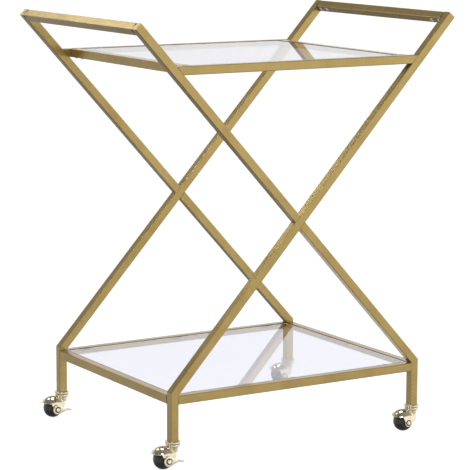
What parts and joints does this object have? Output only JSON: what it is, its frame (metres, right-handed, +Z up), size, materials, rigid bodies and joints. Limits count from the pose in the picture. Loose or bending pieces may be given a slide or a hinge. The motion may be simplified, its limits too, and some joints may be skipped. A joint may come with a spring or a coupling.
{
  "type": "bar cart",
  "caption": "Bar cart with crossed square-tube side frames, two glass shelves, a handle bar at each end and hooded ball casters with side brakes.",
  "frame": {"origin": "on the floor under the middle of the cart", "axes": "+X along the cart towards the casters without brakes, +Y from the front frame to the back frame, +Z up"},
  "size_m": [0.6852, 0.4792, 0.7974],
  "materials": {
    "frame_gold": "satin gold lacquer",
    "shelf_glass": "clear polished",
    "caster_brass": "bright polished plate",
    "wheel_charcoal": "hard moulded tread",
    "screw_steel": "bright zinc plate",
    "bumper_rubber": "clear soft pad",
    "inner_steel": "plain"
  },
  "bodies": {
    "frame": {"back_frame_spigots": "inner_steel", "back_full_diagonal": "frame_gold", "back_left_caster_stem": "caster_brass", "back_left_caster_washer": "caster_brass", "back_left_leg": "frame_gold", "back_lower_half_diagonal": "frame_gold", "back_lower_rail": "frame_gold", "back_right_caster_stem": "caster_brass", "back_right_caster_washer": "caster_brass", "back_right_leg": "frame_gold", "back_upper_half_diagonal": "frame_gold", "back_upper_rail": "frame_gold", "diagonal_end_plates": "frame_gold", "front_frame_spigots": "inner_steel", "front_full_diagonal": "frame_gold", "front_left_caster_stem": "caster_brass", "front_left_caster_washer": "caster_brass", "front_left_leg": "frame_gold", "front_lower_half_diagonal": "frame_gold", "front_lower_rail": "frame_gold", "front_right_caster_stem": "caster_brass", "front_right_caster_washer": "caster_brass", "front_right_leg": "frame_gold", "front_upper_half_diagonal": "frame_gold", "front_upper_rail": "frame_gold", "handle_screws": "screw_steel", "left_handle_bar": "frame_gold", "leg_plugs": "inner_steel", "lower_glass_shelf": "shelf_glass", "lower_left_rail": "frame_gold", "lower_right_rail": "frame_gold", "lower_shelf_bumpers": "bumper_rubber", "lower_shelf_tabs": "frame_gold", "rail_screws": "screw_steel", "right_handle_bar": "frame_gold", "upper_glass_shelf": "shelf_glass", "upper_left_rail": "frame_gold", "upper_right_rail": "frame_gold", "upper_shelf_bumpers": "bumper_rubber", "upper_shelf_tabs": "frame_gold"},
    "front_left_swivel": {"front_left_caster_hood": "caster_brass", "front_left_wheel_axle": "caster_brass"},
    "front_left_wheel": {"front_left_ball_wheel": "wheel_charcoal", "front_left_wheel_bush": "inner_steel"},
    "front_left_brake": {"front_left_brake_lever": "caster_brass"},
    "front_right_swivel": {"front_right_caster_hood": "caster_brass", "front_right_wheel_axle": "caster_brass"},
    "front_right_wheel": {"front_right_ball_wheel": "wheel_charcoal", "front_right_wheel_bush": "inner_steel"},
    "back_left_swivel": {"back_left_caster_hood": "caster_brass", "back_left_wheel_axle": "caster_brass"},
    "back_left_wheel": {"back_left_ball_wheel": "wheel_charcoal", "back_left_wheel_bush": "inner_steel"},
    "back_left_brake": {"back_left_brake_lever": "caster_brass"},
    "back_right_swivel": {"back_right_caster_hood": "caster_brass", "back_right_wheel_axle": "caster_brass"},
    "back_right_wheel": {"back_right_ball_wheel": "wheel_charcoal", "back_right_wheel_bush": "inner_steel"}
  },
  "joints": [
    {"name": "front_left_swivel_turn", "type": "hinge", "parent": "frame", "child": "front_left_swivel", "pos_m": [-0.2645, -0.217, 0.04], "axis": [0, 0, 1], "continuous": true},
    {"name": "front_left_wheel_roll", "type": "hinge", "parent": "front_left_swivel", "child": "front_left_wheel", "pos_m": [-0.2845, -0.217, 0.0185], "axis": [0, 1, 0], "continuous": true},
    {"name": "front_left_brake_press", "type": "hinge", "parent": "front_left_swivel", "child": "front_left_brake", "pos_m": [-0.2845, -0.217, 0.0185], "axis": [0, 1, 0], "range_deg": [0, 18]},
    {"name": "front_right_swivel_turn", "type": "hinge", "parent": "frame", "child": "front_right_swivel", "pos_m": [0.2645, -0.217, 0.04], "axis": [0, 0, 1], "continuous": true},
    {"name": "front_right_wheel_roll", "type": "hinge", "parent": "front_right_swivel", "child": "front_right_wheel", "pos_m": [0.2445, -0.217, 0.0185], "axis": [0, 1, 0], "continuous": true},
    {"name": "back_left_swivel_turn", "type": "hinge", "parent": "frame", "child": "back_left_swivel", "pos_m": [-0.2645, 0.217, 0.04], "axis": [0, 0, 1], "continuous": true},
    {"name": "back_left_wheel_roll", "type": "hinge", "parent": "back_left_swivel", "child": "back_left_wheel", "pos_m": [-0.2845, 0.217, 0.0185], "axis": [0, 1, 0], "continuous": true},
    {"name": "back_left_brake_press", "type": "hinge", "parent": "back_left_swivel", "child": "back_left_brake", "pos_m": [-0.2845, 0.217, 0.0185], "axis": [0, 1, 0], "range_deg": [0, 18]},
    {"name": "back_right_swivel_turn", "type": "hinge", "parent": "frame", "child": "back_right_swivel", "pos_m": [0.2645, 0.217, 0.04], "axis": [0, 0, 1], "continuous": true},
    {"name": "back_right_wheel_roll", "type": "hinge", "parent": "back_right_swivel", "child": "back_right_wheel", "pos_m": [0.2445, 0.217, 0.0185], "axis": [0, 1, 0], "continuous": true}
  ]
}
